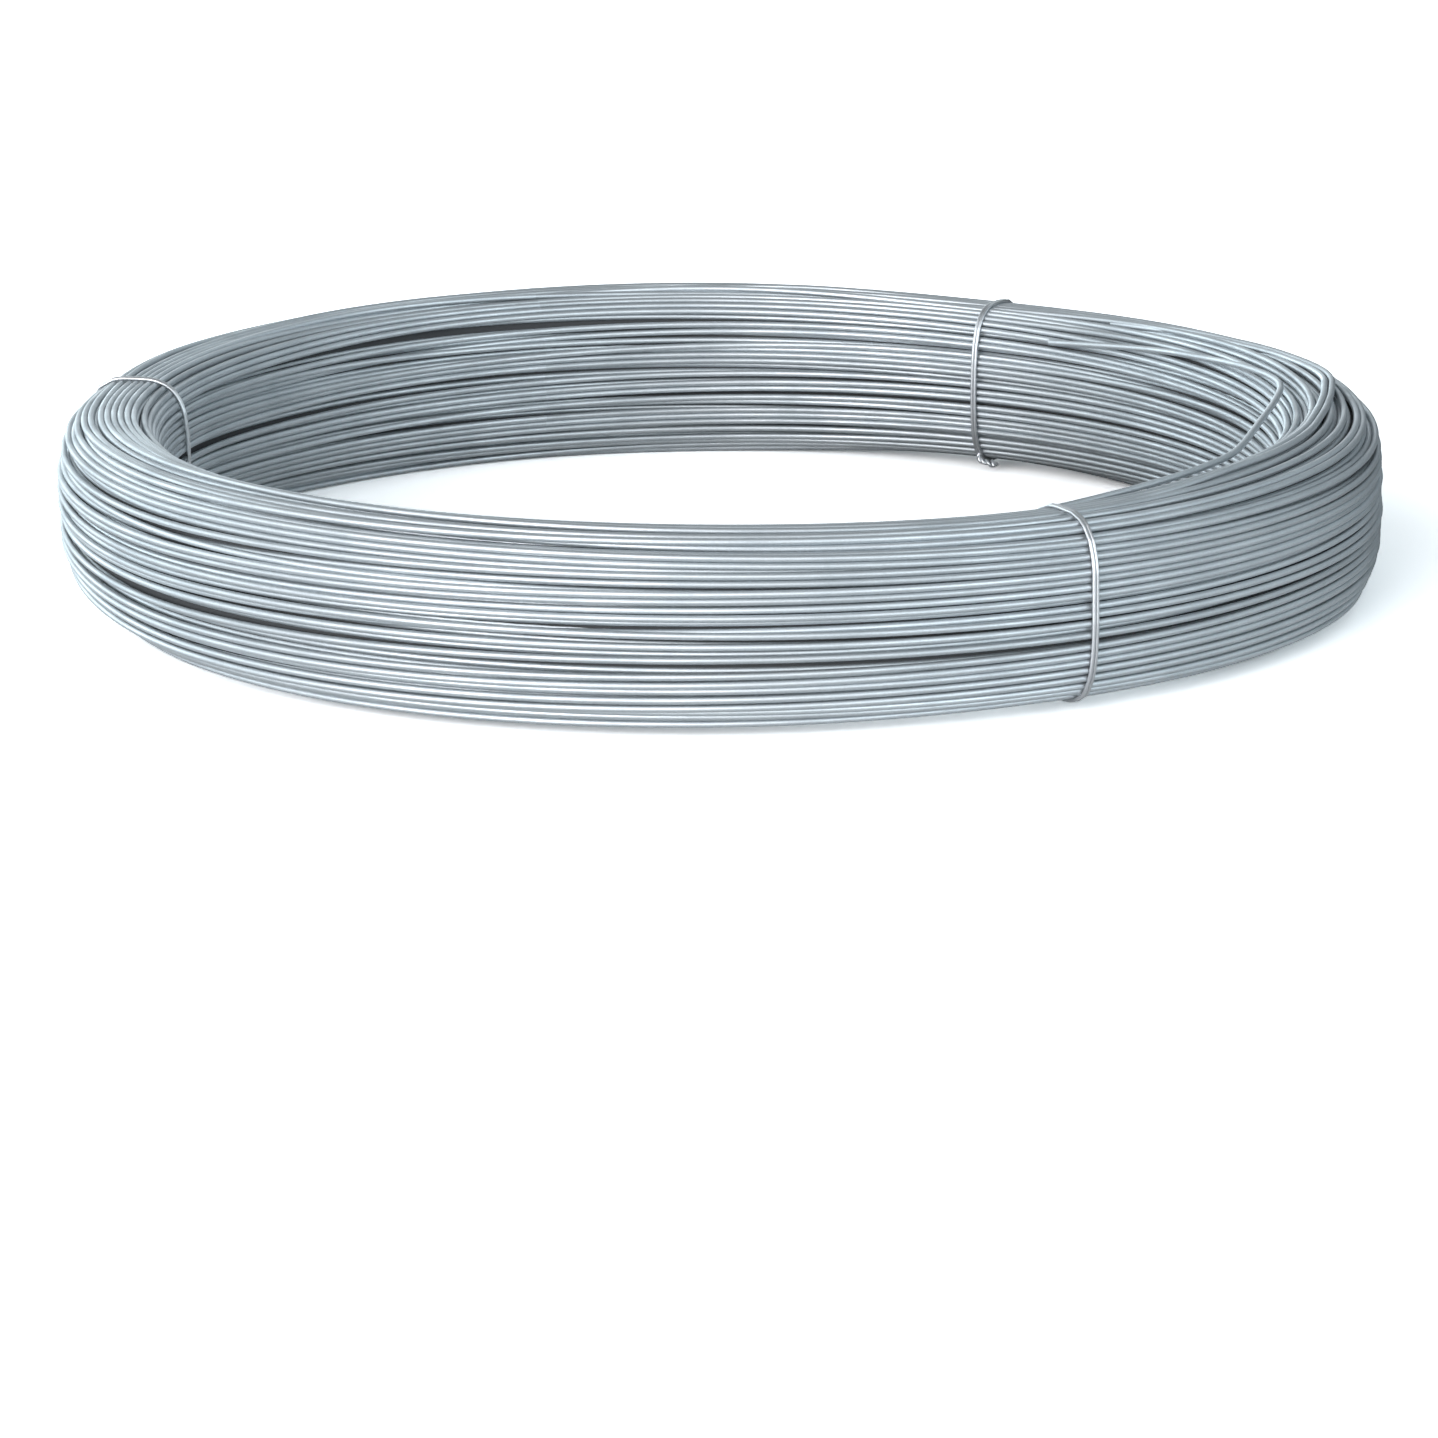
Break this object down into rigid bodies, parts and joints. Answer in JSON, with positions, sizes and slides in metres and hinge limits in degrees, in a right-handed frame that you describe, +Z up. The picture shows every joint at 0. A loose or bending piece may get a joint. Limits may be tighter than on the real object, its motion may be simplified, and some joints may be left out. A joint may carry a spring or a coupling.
{
  "type": "coil of galvanized wire",
  "caption": "Flat-lying coil of thick galvanized steel wire, wound in a round bundle with a wide open bore and held by thin doubled tie wires.",
  "frame": {"origin": "middle of the coil's base, on the bore's axis", "axes": "+Z up along the bore's axis; the side at -Y faces the viewer"},
  "size_m": [0.6699, 0.67, 0.096],
  "materials": {
    "galvanized_wire": "drawn and hot-dip galvanized, satin zinc",
    "tie_wire": "thin soft galvanized wire, satin zinc"
  },
  "bodies": {
    "root": {"wire_coil": "galvanized_wire", "tie_wire_front": "tie_wire", "tie_wire_back": "tie_wire", "tie_wire_left": "tie_wire"}
  },
  "joints": []
}
